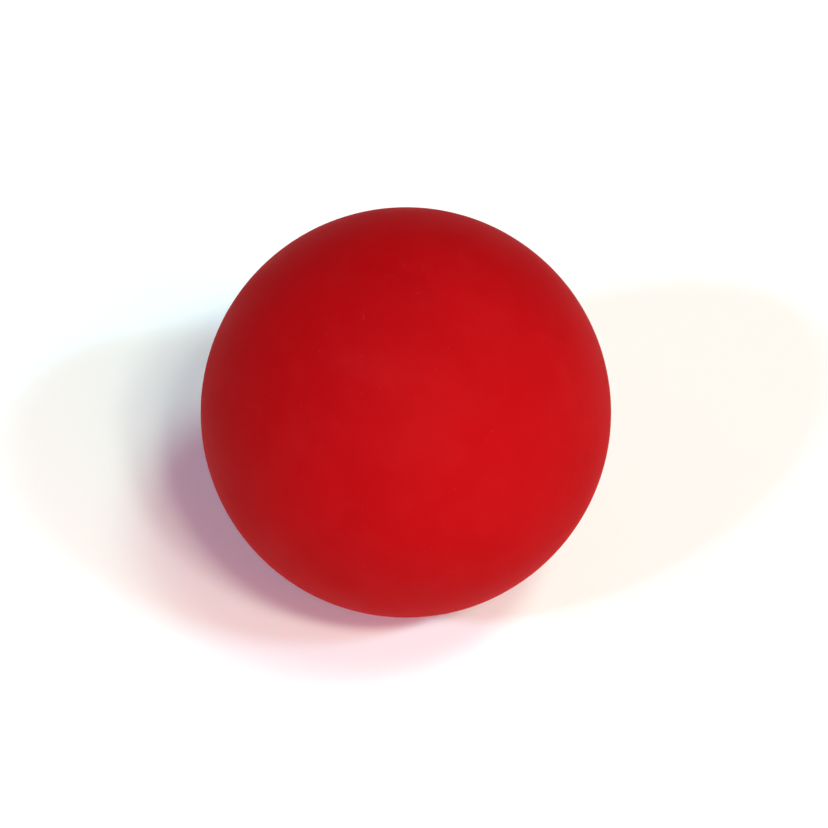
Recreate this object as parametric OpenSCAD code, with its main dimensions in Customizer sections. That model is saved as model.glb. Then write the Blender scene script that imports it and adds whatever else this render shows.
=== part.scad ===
// Lacrosse ball: one solid moulding of vulcanised rubber, with no core, cover or air chamber.
// The origin is the ball's centre and +Z is up. The ball rests on z = -ball_d / 2.

/* [Ball] */
// Diameter of the rubber sphere, from the rules' 7.75 to 8 inches round
ball_d = 63.5; // [62.7:0.1:64.7]

/* [Parting line] */
// Width of the raised line that is left where the two halves of the mould met
line_w = 0.8; // [0.5:0.1:2]
// Height at which the line's flash was trimmed off, above the sphere
line_h = 0.05; // [0.03:0.01:0.15]

/* [Lay] */
// Lean of the mould's axis from upright towards the front, as the ball lies
lay_tilt = 42; // [0:1:85]

/* [Hidden] */

ball_r = ball_d / 2;
crest_r = ball_r + line_h;

// The line's section is an arc through its crest and through the two points
// where its edges meet the sphere. These are the arc's centre and radius.
edge_r = sqrt(pow(ball_r, 2) - pow(line_w / 2, 2));
arc_x = (pow(crest_r, 2) - pow(ball_r, 2)) / (2 * (crest_r - edge_r));
arc_r = crest_r - arc_x;

$fn = 180;

// Section of the ball on one side of the mould's axis: the half disc of the two
// cavities, and the arc of the parting line between them
module ball_section() {
    intersection() {
        union() {
            circle(r = ball_r);
            translate([arc_x, 0])
                circle(r = arc_r);
        }
        translate([0, -ball_r])
            square([crest_r, ball_d]);
    }
}

// The moulding, turned about the mould's axis and then laid as it rests
module ball() {
    color([0.78, 0.09, 0.1])
        rotate([lay_tilt, 0, 0])
            rotate_extrude()
                ball_section();
}

ball();
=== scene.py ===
# The looks of a lacrosse ball: one solid moulding of red rubber, resting on a white floor.
# Everything is in metres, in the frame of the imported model, whose origin is the ball's centre.

import math

import bmesh
import bpy
from bpy.props import (
    FloatProperty,
    FloatVectorProperty,
    IntProperty,
    PointerProperty,
)
from mathutils import Matrix, Vector, noise


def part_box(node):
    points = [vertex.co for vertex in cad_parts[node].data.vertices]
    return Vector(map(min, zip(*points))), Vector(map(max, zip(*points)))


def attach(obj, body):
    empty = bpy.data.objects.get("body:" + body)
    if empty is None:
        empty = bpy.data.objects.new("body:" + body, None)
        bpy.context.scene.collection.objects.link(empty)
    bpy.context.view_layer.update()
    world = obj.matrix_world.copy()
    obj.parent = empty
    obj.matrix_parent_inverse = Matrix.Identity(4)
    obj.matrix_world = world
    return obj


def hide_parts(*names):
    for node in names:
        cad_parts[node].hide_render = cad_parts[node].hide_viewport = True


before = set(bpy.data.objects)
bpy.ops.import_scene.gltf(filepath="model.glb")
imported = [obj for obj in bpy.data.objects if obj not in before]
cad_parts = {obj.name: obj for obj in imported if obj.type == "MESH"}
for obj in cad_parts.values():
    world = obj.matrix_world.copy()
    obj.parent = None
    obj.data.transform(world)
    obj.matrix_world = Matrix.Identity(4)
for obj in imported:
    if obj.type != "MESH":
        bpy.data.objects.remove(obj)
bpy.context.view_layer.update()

bl_info = {
    "name": "Lacrosse Ball",
    "version": (1, 0, 0),
    "blender": (4, 5, 0),
    "location": "View3D > Sidebar > Ball",
    "description": "A solid rubber lacrosse ball, its rubber finish and a white studio floor",
    "category": "Object",
}

MM = 0.001

# The ball's own sizes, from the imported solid's box: the parting line's crest sets its
# width, and the plain sphere sets its height
BALL_LOW, BALL_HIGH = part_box("ball")
BALL_RADIUS = (BALL_HIGH.z - BALL_LOW.z) / 2
CREST_RADIUS = (BALL_HIGH.x - BALL_LOW.x) / 2

# The photograph's frame, and where the ball's disc lies in it
IMAGE_SIDE_PX = 828
DISC_X_PX = 405.9
DISC_Y_PX = 412.4
DISC_RADIUS_PX = 205.4

# Short nicks in the skin: azimuth from the front towards the right, elevation and turn in
# degrees, then length and width in millimetres
NICKS = (
    (-36.4, 71.0, 128, 1.3, 0.28),
    (118.0, 33.0, 20, 2.6, 0.32),
    (171.0, 12.0, -35, 1.9, 0.28),
    (-128.0, 41.0, 64, 2.2, 0.30),
    (-84.0, -18.0, 8, 1.6, 0.30),
)

# Soft rubs where the ball has rolled against something hard, given in the same way
RUBS = (
    (104.0, 8.0, 24, 9.0, 3.2),
    (-151.0, 26.0, -30, 11.0, 4.0),
    (152.0, -22.0, 10, 8.0, 3.0),
    (-97.0, 30.0, 55, 7.0, 2.6),
)

# How finely a rub is broken up along it, across it and into the skin
RUB_STREAKS = (1.2, 9.0, 1.0)

# How the trimming and the shrinking vary from place to place: a fractal's dimension, how
# much finer each of its layers is, and how many layers it has
TRIM_FRACTAL = (0.6, 2.1, 4)
SHRINK_FRACTAL = (0.8, 2.0, 3)

# Where in the noise the line's bends and the skin's hollows are taken from
WANDER_START = Vector((7, 3, 1))
SHRINK_START = Vector((3, 1, 4))

# Vertices nearer to each other than this are one
SAME_PLACE = 0.001 * MM


def length_property(name, description, default):
    """A length in metres."""
    return FloatProperty(
        name=name,
        description=description,
        default=default,
        min=0.0,
        precision=6,
        subtype="DISTANCE",
        unit="LENGTH",
    )


def angle_property(name, description, degrees):
    """An angle, whose default is given in degrees."""
    return FloatProperty(
        name=name,
        description=description,
        default=math.radians(degrees),
        subtype="ANGLE",
        unit="ROTATION",
    )


def share_property(name, description, default):
    """A share from 0 to 1."""
    return FloatProperty(
        name=name,
        description=description,
        default=default,
        min=0.0,
        max=1.0,
        precision=4,
        subtype="FACTOR",
    )


def strength_property(name, description, default):
    """A light's strength. At 1 it shows a white surface that faces it as white."""
    return FloatProperty(
        name=name,
        description=description,
        default=default,
        min=0.0,
        precision=3,
    )


def colour_property(name, description, default):
    """A linear colour."""
    return FloatVectorProperty(
        name=name,
        description=description,
        default=default,
        min=0.0,
        max=1.0,
        size=3,
        subtype="COLOR",
    )


class MouldingSizes(bpy.types.PropertyGroup):
    """Sizes of the rubber moulding."""

    radius: length_property("Radius", "Radius of the plain rubber sphere", BALL_RADIUS)
    crest_radius: length_property(
        "Crest radius", "Radius to the top of the parting line", CREST_RADIUS
    )
    line_width: length_property(
        "Line width", "Width of the raised parting line", 0.8 * MM
    )
    lean: angle_property(
        "Lean", "Lean of the mould's axis from upright towards the front", 42
    )
    trimmed_share: share_property(
        "Trimmed share", "How much of the line's height the trimming took in places", 0.55
    )
    trimmed_length: length_property(
        "Trimmed length", "Length of the stretches that are trimmed alike", 3.5 * MM
    )
    wander: length_property(
        "Wander", "How far the trimmed line strays to either side", 0.06 * MM
    )
    wander_length: length_property(
        "Wander length", "Length of the line's bends", 6.4 * MM
    )
    shrink: length_property(
        "Shrink", "Depth of the faint hollows left as the rubber cooled", 0.03 * MM
    )
    shrink_size: length_property("Shrink size", "Breadth of those hollows", 14.5 * MM)
    segments: IntProperty(
        name="Segments", description="Steps round the mould's axis", default=320, min=16
    )
    cavity_rows: IntProperty(
        name="Cavity rows",
        description="Rows from a pole to the parting line",
        default=110,
        min=8,
    )
    line_rows: IntProperty(
        name="Line rows",
        description="Rows across the parting line",
        default=10,
        min=2,
    )


class RubberFinish(bpy.types.PropertyGroup):
    """Colours and surface of the cured rubber."""

    body: colour_property("Body", "Colour of the rubber", (0.378, 0.0013, 0.0034))
    deep: colour_property("Deep", "Where the pigment lies thicker", (0.359, 0.0009, 0.0028))
    pale: colour_property("Pale", "Where the filler shows", (0.412, 0.005, 0.007))
    bloom: colour_property("Bloom", "Wax that has come to the skin", (0.432, 0.020, 0.024))
    cloud_size: length_property("Cloud size", "Breadth of the pigment's soft clouds", 24 * MM)
    mottle_size: length_property("Mottle size", "Breadth of the filler's mottle", 3.8 * MM)
    mottle_share: share_property("Mottle share", "How strongly the mottle shows", 0.20)
    speck_size: length_property("Speck size", "Spacing of the filler's specks", 0.9 * MM)
    speck_share: share_property("Speck share", "How strongly the specks show", 0.45)
    wax_size: length_property("Wax size", "Breadth of the thin films of wax", 13 * MM)
    wax_share: share_property("Wax share", "How strongly the wax shows", 0.07)
    roughness: share_property("Roughness", "Roughness of the moulded skin", 0.78)
    gloss: share_property("Gloss", "How strongly the skin reflects", 0.06)
    sheen: share_property("Sheen", "How strongly the skin glows where it turns away", 0.15)
    sheen_roughness: share_property("Sheen roughness", "Breadth of that glow", 0.3)
    sheen_colour: colour_property("Sheen colour", "Colour of that glow", (1.0, 0.03, 0.04))
    dull_size: length_property("Dull size", "Breadth of the duller patches", 10.5 * MM)
    dull_gain: share_property("Dull gain", "How much rougher the duller patches are", 0.05)
    grain_size: length_property("Grain size", "Breadth of the fine grain", 0.38 * MM)
    grain_depth: length_property("Grain depth", "Depth of the fine grain", 0.0012 * MM)
    peel_size: length_property("Peel size", "Breadth of the soft ripple", 2.4 * MM)
    peel_depth: length_property("Peel depth", "Depth of the soft ripple", 0.004 * MM)
    buffed_reach: length_property(
        "Buffed reach", "How far the buffing ran to either side of the parting line", 1.7 * MM
    )
    buffed_waver: length_property(
        "Buffed waver", "Length of the waves in the buffed band's edges", 6.7 * MM
    )
    buffed_share: share_property("Buffed share", "How strongly the buffed band shows", 0.6)
    buffed_dulling: share_property("Buffed dulling", "How much rougher the band is", 0.08)
    streak_length: length_property("Streak length", "Length of a buffing mark", 33 * MM)
    streak_width: length_property("Streak width", "Width of a buffing mark", 0.22 * MM)
    streak_depth: length_property("Streak depth", "Depth of a buffing mark", 0.005 * MM)
    rub_share: share_property("Rub share", "How strongly the rubs show", 0.30)
    rub_shine: share_property("Rub shine", "How much smoother the rubs are", 0.12)
    nick_share: share_property("Nick share", "How strongly the nicks show", 0.45)
    nick_depth: length_property("Nick depth", "Depth of the short nicks", 0.03 * MM)


class KeyLamp(bpy.types.PropertyGroup):
    """The main softbox at the right front."""

    azimuth: angle_property("Azimuth", "Turn from the front towards the right", 28.9)
    elevation: angle_property("Elevation", "Height above the horizon", 54.6)
    softness: angle_property("Softness", "Width that the floor sees each of its two lights at", 6.3)
    spread: angle_property("Spread", "Turn from the box's middle to a light", 5.2)
    slant: angle_property("Slant", "Rise from the box's middle to the right-hand light", -1.4)
    strength: strength_property("Strength", "Light on a surface that faces it", 0.449)
    colour: colour_property("Colour", "Colour of the light", (0.899, 1.000, 0.832))


class SideLamp(bpy.types.PropertyGroup):
    """The small blue lamp at the right."""

    azimuth: angle_property("Azimuth", "Turn from the front towards the right", 62.5)
    elevation: angle_property("Elevation", "Height above the horizon", 46.2)
    softness: angle_property("Softness", "Width that the floor sees each of its two lights at", 4.8)
    spread: angle_property("Spread", "Turn from the box's middle to a light", 3.4)
    slant: angle_property("Slant", "Rise from the box's middle to the right-hand light", -0.7)
    strength: strength_property("Strength", "Light on a surface that faces it", 0.32)
    colour: colour_property("Colour", "Colour of the light", (0.266, 0.801, 1.000))


class FillLamp(bpy.types.PropertyGroup):
    """The small blue lamp at the left front."""

    azimuth: angle_property("Azimuth", "Turn from the front towards the right", -53.8)
    elevation: angle_property("Elevation", "Height above the horizon", 39.6)
    softness: angle_property("Softness", "Width that the floor sees each of its two lights at", 3.3)
    spread: angle_property("Spread", "Turn from the box's middle to a light", 3.2)
    slant: angle_property("Slant", "Rise from the box's middle to the right-hand light", 0.3)
    strength: strength_property("Strength", "Light on a surface that faces it", 0.388)
    colour: colour_property("Colour", "Colour of the light", (0.523, 0.725, 1.000))


class TopLamp(bpy.types.PropertyGroup):
    """The high pale green lamp at the right."""

    azimuth: angle_property("Azimuth", "Turn from the front towards the right", 69.6)
    elevation: angle_property("Elevation", "Height above the horizon", 69.0)
    softness: angle_property("Softness", "Width that the floor sees each of its two lights at", 13.4)
    spread: angle_property("Spread", "Turn from the box's middle to a light", 10.0)
    slant: angle_property("Slant", "Rise from the box's middle to the right-hand light", -0.4)
    strength: strength_property("Strength", "Light on a surface that faces it", 0.341)
    colour: colour_property("Colour", "Colour of the light", (0.524, 1.000, 0.831))


class PanelLamp(bpy.types.PropertyGroup):
    """The wide low red panel at the right front. Its two halves lie in one place."""

    azimuth: angle_property("Azimuth", "Turn from the front towards the right", 44.0)
    elevation: angle_property("Elevation", "Height above the horizon", 24.0)
    softness: angle_property("Softness", "Width that the floor sees each of its two lights at", 60.0)
    spread: angle_property("Spread", "Turn from the box's middle to a light", 0.0)
    slant: angle_property("Slant", "Rise from the box's middle to the right-hand light", 0.0)
    strength: strength_property("Strength", "Light on a surface that faces it", 0.535)
    colour: colour_property("Colour", "Colour of the light", (1.000, 0.224, 0.131))


class StudioSet(bpy.types.PropertyGroup):
    """The floor, the air round it and the camera."""

    floor_size: length_property("Floor size", "Side of the square floor", 6.0)
    floor_colour: colour_property("Floor", "Colour of the floor", (0.95, 0.95, 0.95))
    air_colour: colour_property("Air", "Colour of the light from all round", (1.0, 0.360, 0.423))
    air_strength: strength_property("Air strength", "Light from all round", 0.271)
    camera_elevation: angle_property("Camera height", "Camera's height above the horizon", 48)
    camera_distance: length_property("Camera distance", "From the ball's centre", 0.495)


def direction(azimuth, elevation):
    """The way out from the ball's centre. Azimuth 0 is the front, -Y."""
    return Vector(
        (
            math.sin(azimuth) * math.cos(elevation),
            -math.cos(azimuth) * math.cos(elevation),
            math.sin(elevation),
        )
    )


class Bench:
    """Adds and joins the nodes of one material."""

    def __init__(self, name):
        self.material = bpy.data.materials.new(name)
        self.material.use_nodes = True
        self.tree = self.material.node_tree
        self.tree.nodes.clear()

    def feed(self, socket, value):
        """Joins a node's output to a socket, or sets the socket to a plain value."""
        if isinstance(value, bpy.types.NodeSocket):
            self.tree.links.new(value, socket)
        else:
            socket.default_value = value

    def add(self, kind, inputs, **settings):
        """Adds a node, with its settings and then its inputs by name."""
        node = self.tree.nodes.new(kind)
        for key, value in settings.items():
            setattr(node, key, value)
        for key, value in inputs.items():
            self.feed(node.inputs[key], value)
        return node

    def work_out(self, operation, first, second=0.0):
        """One step of arithmetic."""
        node = self.add("ShaderNodeMath", {0: first, 1: second}, operation=operation)
        return node.outputs["Value"]

    def mapped(self, place, kind, inputs):
        """Moves, turns or stretches a place."""
        inputs = {"Vector": place, **inputs}
        return self.add("ShaderNodeMapping", inputs, vector_type=kind).outputs["Vector"]

    def noise(self, place, size, detail, distortion=0.0):
        """Soft noise from 0 to 1, with features of one size."""
        inputs = {"Vector": place, "Scale": 1 / size, "Detail": detail}
        inputs["Distortion"] = distortion
        return self.add("ShaderNodeTexNoise", inputs).outputs["Fac"]

    def ramp(self, value, start, end, low=0.0, high=1.0):
        """A soft step from low to high, as the value goes from start to end."""
        inputs = {"From Min": start, "From Max": end, "To Min": low, "To Max": high}
        inputs["Value"] = value
        node = self.add("ShaderNodeMapRange", inputs, interpolation_type="SMOOTHSTEP")
        return node.outputs["Result"]

    def blend(self, share, first, second):
        """A colour between two. The mix node's colours are its inputs 6 and 7 and its output 2."""
        node = self.add("ShaderNodeMix", {0: share}, data_type="RGBA")
        self.feed(node.inputs[6], first)
        self.feed(node.inputs[7], second)
        return node.outputs[2]


def patch_place(bench, place, mark, radius):
    """A mark's own place on the skin, which is 1 away from its middle at the mark's ends and sides."""
    azimuth, elevation, turn, length, width = mark
    out = direction(math.radians(azimuth), math.radians(elevation))
    side = Vector((0.0, 0.0, 1.0)).cross(out).normalized()
    rise = out.cross(side)
    along = side * math.cos(math.radians(turn)) + rise * math.sin(math.radians(turn))
    across = out.cross(along)
    turned = Matrix((along, across, out)).transposed().to_euler("XYZ")
    inputs = {
        "Location": out * radius,
        "Rotation": turned,
        "Scale": (length / 2 * MM, width / 2 * MM, length / 2 * MM),
    }
    return bench.mapped(place, "TEXTURE", inputs)


def marks_mask(bench, place, marks, radius, streaks):
    """How strongly a set of marks shows. Streaks break a mark up along its length."""
    total = 0.0
    for mark in marks:
        spot = patch_place(bench, place, mark, radius)
        ball = bench.add("ShaderNodeTexGradient", {"Vector": spot}, gradient_type="SPHERICAL")
        mask = bench.ramp(ball.outputs["Fac"], start=0.0, end=0.7)
        if streaks:
            stretched = bench.mapped(spot, "POINT", {"Scale": RUB_STREAKS})
            broken = bench.ramp(bench.noise(stretched, 1.0, 3.0), start=0.42, end=0.68)
            mask = bench.work_out("MULTIPLY", mask, broken)
        total = bench.work_out("MAXIMUM", total, mask)
    return total


def rubber_colour(bench, finish, place, parts):
    """The pigment's soft clouds, the filler's specks, and the paler skin where it is worked."""
    clouds = bench.noise(place, finish.cloud_size, 3.0, 0.8)
    mottle = bench.noise(place, finish.mottle_size, 5.0)
    wax = bench.noise(place, finish.wax_size, 2.0, 0.4)
    inputs = {"Vector": place, "Scale": 1 / finish.speck_size}
    cells = bench.add("ShaderNodeTexVoronoi", inputs)
    chance = bench.add("ShaderNodeSeparateColor", {"Color": cells.outputs["Color"]})
    speck = bench.ramp(cells.outputs["Distance"], start=0.22, end=0.08)
    chosen = bench.ramp(chance.outputs["Red"], start=0.86, end=0.94)
    body = (*finish.body, 1.0)
    deep = (*finish.deep, 1.0)
    pale = (*finish.pale, 1.0)
    bloom = (*finish.bloom, 1.0)

    colour = bench.blend(bench.ramp(clouds, start=0.36, end=0.60), deep, body)
    filler = bench.ramp(mottle, start=0.45, end=0.75, high=finish.mottle_share)
    colour = bench.blend(filler, colour, pale)
    specks = bench.work_out("MULTIPLY", speck, chosen)
    specks = bench.work_out("MULTIPLY", specks, finish.speck_share)
    colour = bench.blend(specks, colour, bloom)
    film = bench.ramp(wax, start=0.50, end=0.75, high=finish.wax_share)
    colour = bench.blend(film, colour, bloom)

    share = finish.buffed_share
    streaks = bench.ramp(parts["streaks"], start=0.3, end=0.7, low=share / 3, high=share)
    worked = bench.work_out("MULTIPLY", parts["buffed"], streaks)
    rubs = bench.work_out("MULTIPLY", parts["rubs"], finish.rub_share)
    worked = bench.work_out("MAXIMUM", worked, rubs)
    nicks = bench.work_out("MULTIPLY", parts["nicks"], finish.nick_share)
    worked = bench.work_out("MAXIMUM", worked, nicks)
    return bench.blend(worked, colour, bloom)


def rubber_material(finish, sizes):
    """The red rubber's skin, moulded smooth, with a buffed band along the parting line."""
    bench = Bench("moulded_rubber")
    place = bench.add("ShaderNodeTexCoord", {}).outputs["Object"]
    mould = bench.mapped(place, "POINT", {"Rotation": (-sizes.lean, 0.0, 0.0)})
    height = bench.add("ShaderNodeSeparateXYZ", {"Vector": mould}).outputs["Z"]
    reach = finish.buffed_reach
    waver = bench.work_out("MULTIPLY", bench.noise(place, finish.buffed_waver, 2.0), reach)
    off = bench.work_out("ADD", bench.work_out("ABSOLUTE", height), waver)
    along = 1 / finish.streak_length
    across = 1 / finish.streak_width
    stretched = bench.mapped(mould, "POINT", {"Scale": (along, along, across)})
    parts = {
        "buffed": bench.ramp(off, start=1.5 * reach, end=0.6 * reach),
        "streaks": bench.noise(stretched, 1.0, 3.0),
        "rubs": marks_mask(bench, place, RUBS, sizes.radius, True),
        "nicks": marks_mask(bench, place, NICKS, sizes.radius, False),
    }
    colour = rubber_colour(bench, finish, place, parts)

    patches = bench.noise(place, finish.dull_size, 3.0)
    gain = finish.dull_gain
    dull = bench.ramp(patches, start=0.3, end=0.7, low=-gain, high=gain)
    rough = bench.work_out("ADD", dull, finish.roughness)
    buffed = bench.work_out("MULTIPLY", parts["buffed"], finish.buffed_dulling)
    rough = bench.work_out("ADD", rough, buffed)
    rubs = bench.work_out("MULTIPLY", parts["rubs"], finish.rub_shine)
    rough = bench.work_out("SUBTRACT", rough, rubs)

    marks = bench.work_out("MULTIPLY", parts["streaks"], parts["buffed"])
    relief = bench.work_out("MULTIPLY", marks, finish.streak_depth)
    grain = bench.noise(place, finish.grain_size, 2.0)
    grain = bench.work_out("MULTIPLY", grain, finish.grain_depth)
    peel = bench.noise(place, finish.peel_size, 2.0)
    peel = bench.work_out("MULTIPLY", peel, finish.peel_depth)
    dents = bench.work_out("MULTIPLY", parts["nicks"], finish.nick_depth)
    relief = bench.work_out("ADD", relief, bench.work_out("ADD", grain, peel))
    relief = bench.work_out("SUBTRACT", relief, dents)
    bump = bench.add("ShaderNodeBump", {"Height": relief, "Distance": 1.0, "Strength": 1.0})

    inputs = {
        "Base Color": colour,
        "Roughness": rough,
        "Normal": bump.outputs["Normal"],
        "Specular IOR Level": finish.gloss,
        "Sheen Weight": finish.sheen,
        "Sheen Roughness": finish.sheen_roughness,
        "Sheen Tint": (*finish.sheen_colour, 1.0),
    }
    shader = bench.add("ShaderNodeBsdfPrincipled", inputs)
    bench.add("ShaderNodeOutputMaterial", {"Surface": shader.outputs["BSDF"]})
    return bench.material


def moulding_section(mesh, sizes):
    """One side of the ball's section, from pole to pole, made by turning a single vertex."""
    half_line = sizes.line_width / 2
    edge_reach = math.sqrt(sizes.radius**2 - half_line**2)
    crest_gain = sizes.crest_radius**2 - sizes.radius**2
    arc_centre = crest_gain / (2 * (sizes.crest_radius - edge_reach))
    cavity_turn = math.acos(half_line / sizes.radius)
    line_turn = 2 * math.atan2(half_line, edge_reach - arc_centre)
    pole = bmesh.ops.create_vert(mesh, co=(0.0, 0.0, sizes.radius))["vert"]
    last = pole
    turns = (
        (0.0, cavity_turn, sizes.cavity_rows),
        (arc_centre, line_turn, sizes.line_rows),
        (0.0, cavity_turn, sizes.cavity_rows),
    )
    for centre, turn, rows in turns:
        made = bmesh.ops.spin(
            mesh,
            geom=last,
            cent=(centre, 0.0, 0.0),
            axis=(0.0, 1.0, 0.0),
            angle=turn,
            steps=rows,
            use_merge=False,
            use_duplicate=False,
        )
        last = made["geom_last"]


def trim_line(mesh, sizes):
    """Makes the parting line uneven, as a blade or a buffing wheel leaves it."""
    reach = 2 * sizes.line_width
    for vertex in mesh.verts:
        off = abs(vertex.co.z)
        if off > reach:
            continue
        hold = 1 - (off / reach) ** 2
        cut = 0.5 + 0.5 * noise.fractal(vertex.co / sizes.trimmed_length, *TRIM_FRACTAL)
        cut = min(max(cut, 0.0), 1.0) * sizes.trimmed_share
        radius = vertex.co.length
        proud = max(radius - sizes.radius, 0.0)
        stray = noise.noise(vertex.co / sizes.wander_length + WANDER_START)
        vertex.co *= (radius - proud * cut) / radius
        vertex.co.z += hold * sizes.wander * stray


def shrink_skin(mesh, sizes):
    """Sinks the skin a little in broad soft patches. Nothing moves outwards."""
    for vertex in mesh.verts:
        place = vertex.co / sizes.shrink_size + SHRINK_START
        sink = 0.5 + 0.5 * noise.fractal(place, *SHRINK_FRACTAL)
        sink = min(max(sink, 0.0), 1.0)
        vertex.co -= vertex.co.normalized() * sizes.shrink * sink


def build_moulding(sizes):
    """The moulding's mesh: a section turned round the mould's axis, then laid as the ball rests."""
    mesh = bmesh.new()
    moulding_section(mesh, sizes)
    bmesh.ops.spin(
        mesh,
        geom=mesh.verts[:] + mesh.edges[:],
        cent=(0.0, 0.0, 0.0),
        axis=(0.0, 0.0, 1.0),
        angle=2 * math.pi,
        steps=sizes.segments,
        use_merge=True,
        use_duplicate=False,
    )
    poles = [vertex for vertex in mesh.verts if vertex.co.xy.length < SAME_PLACE]
    bmesh.ops.remove_doubles(mesh, verts=poles, dist=SAME_PLACE)
    trim_line(mesh, sizes)
    shrink_skin(mesh, sizes)
    bmesh.ops.rotate(
        mesh,
        verts=mesh.verts,
        cent=(0.0, 0.0, 0.0),
        matrix=Matrix.Rotation(sizes.lean, 3, "X"),
    )
    bmesh.ops.recalc_face_normals(mesh, faces=mesh.faces)
    for face in mesh.faces:
        face.smooth = True
    return mesh


def object_from(mesh, name):
    """A new object at the origin that holds the bmesh's shape."""
    data = bpy.data.meshes.new(name)
    mesh.to_mesh(data)
    mesh.free()
    made = bpy.data.objects.new(name, data)
    bpy.context.scene.collection.objects.link(made)
    return made


def add_lamp(name, lamp):
    """A box with two soft round lights, so far off that it lights the whole floor alike."""
    for side in (-1, 1):
        light = bpy.data.lights.new(name, "SUN")
        light.energy = math.pi * lamp.strength / 2
        light.angle = lamp.softness
        light.color = lamp.colour
        made = bpy.data.objects.new(name, light)
        azimuth = lamp.azimuth + side * lamp.spread
        elevation = lamp.elevation + side * lamp.slant
        towards = direction(azimuth, elevation)
        made.rotation_euler = towards.to_track_quat("Z", "Y").to_euler()
        made.location = towards
        bpy.context.scene.collection.objects.link(made)


def add_floor(studio, floor_z):
    """The white floor that the ball rests on."""
    mesh = bmesh.new()
    bmesh.ops.create_grid(mesh, x_segments=1, y_segments=1, size=studio.floor_size / 2)
    bmesh.ops.translate(mesh, verts=mesh.verts, vec=(0.0, 0.0, floor_z))
    floor = object_from(mesh, "floor")
    bench = Bench("white_floor")
    white = bench.add("ShaderNodeBsdfDiffuse", {"Color": (*studio.floor_colour, 1.0)})
    bench.add("ShaderNodeOutputMaterial", {"Surface": white.outputs["BSDF"]})
    floor.data.materials.append(bench.material)


def set_air(studio):
    """The world: soft light from all round, and plain white where the camera looks past the floor."""
    world = bpy.data.worlds.new("studio_air")
    world.use_nodes = True
    nodes = world.node_tree.nodes
    links = world.node_tree.links
    nodes.clear()
    output = nodes.new("ShaderNodeOutputWorld")
    air = nodes.new("ShaderNodeBackground")
    air.inputs["Color"].default_value = (*studio.air_colour, 1.0)
    air.inputs["Strength"].default_value = studio.air_strength
    white = nodes.new("ShaderNodeBackground")
    white.inputs["Color"].default_value = (1.0, 1.0, 1.0, 1.0)
    path = nodes.new("ShaderNodeLightPath")
    mix = nodes.new("ShaderNodeMixShader")
    links.new(path.outputs["Is Camera Ray"], mix.inputs["Fac"])
    links.new(air.outputs["Background"], mix.inputs[1])
    links.new(white.outputs["Background"], mix.inputs[2])
    links.new(mix.outputs["Shader"], output.inputs["Surface"])
    bpy.context.scene.world = world


def add_camera(studio, radius):
    """The camera, placed so that the ball's disc lies where the photograph has it."""
    distance = studio.camera_distance
    reach_px = DISC_RADIUS_PX / math.tan(math.asin(radius / distance))
    data = bpy.data.cameras.new("camera")
    data.sensor_width = 36.0
    data.lens = data.sensor_width * reach_px / IMAGE_SIDE_PX
    data.clip_start = 0.01
    data.clip_end = 20.0
    camera = bpy.data.objects.new("camera", data)
    back = direction(0.0, studio.camera_elevation)
    right = Vector((1.0, 0.0, 0.0))
    up = back.cross(right)
    per_pixel = distance / reach_px
    middle = IMAGE_SIDE_PX / 2
    aim = right * (middle - DISC_X_PX) * per_pixel
    aim += up * (DISC_Y_PX - middle) * per_pixel
    camera.location = back * distance
    camera.rotation_euler = (camera.location - aim).to_track_quat("Z", "Y").to_euler()
    bpy.context.scene.collection.objects.link(camera)
    bpy.context.scene.camera = camera


class BALL_OT_moulding(bpy.types.Operator):
    """Model the solid rubber moulding and give it its finish"""

    bl_idname = "ball.moulding"
    bl_label = "Rubber Moulding"

    def execute(self, context):
        sizes = context.scene.ball_moulding
        piece = object_from(build_moulding(sizes), "rubber_ball")
        piece.data.materials.append(rubber_material(context.scene.ball_rubber, sizes))
        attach(piece, "root")
        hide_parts("ball")
        return {"FINISHED"}


class BALL_OT_stage(bpy.types.Operator):
    """Lay the floor, hang the lamps and place the camera"""

    bl_idname = "ball.stage"
    bl_label = "Studio Stage"

    def execute(self, context):
        scene = context.scene
        scene.view_settings.view_transform = "Standard"
        add_floor(scene.ball_studio, BALL_LOW.z)
        for name in ("key_lamp", "side_lamp", "fill_lamp", "top_lamp", "panel_lamp"):
            add_lamp(name, getattr(scene, "ball_" + name))
        set_air(scene.ball_studio)
        add_camera(scene.ball_studio, scene.ball_moulding.radius)
        return {"FINISHED"}


class BALL_PT_panel(bpy.types.Panel):
    """The ball's operators and sizes"""

    bl_idname = "BALL_PT_panel"
    bl_label = "Lacrosse Ball"
    bl_space_type = "VIEW_3D"
    bl_region_type = "UI"
    bl_category = "Ball"

    def draw(self, context):
        column = self.layout.column(align=True)
        column.operator(BALL_OT_moulding.bl_idname)
        column.operator(BALL_OT_stage.bl_idname)
        for group in GROUPS:
            settings = getattr(context.scene, group)
            box = self.layout.box()
            for key in settings.bl_rna.properties.keys():
                if key not in ("rna_type", "name"):
                    box.prop(settings, key)


GROUPS = {
    "ball_moulding": MouldingSizes,
    "ball_rubber": RubberFinish,
    "ball_key_lamp": KeyLamp,
    "ball_side_lamp": SideLamp,
    "ball_fill_lamp": FillLamp,
    "ball_top_lamp": TopLamp,
    "ball_panel_lamp": PanelLamp,
    "ball_studio": StudioSet,
}
TOOLS = (BALL_OT_moulding, BALL_OT_stage, BALL_PT_panel)


def register():
    for name, group in GROUPS.items():
        bpy.utils.register_class(group)
        setattr(bpy.types.Scene, name, PointerProperty(type=group))
    for tool in TOOLS:
        bpy.utils.register_class(tool)


def unregister():
    for tool in reversed(TOOLS):
        bpy.utils.unregister_class(tool)
    for name, group in GROUPS.items():
        delattr(bpy.types.Scene, name)
        bpy.utils.unregister_class(group)


def main():
    register()
    bpy.ops.ball.moulding()
    bpy.ops.ball.stage()


if __name__ == "__main__":
    main()
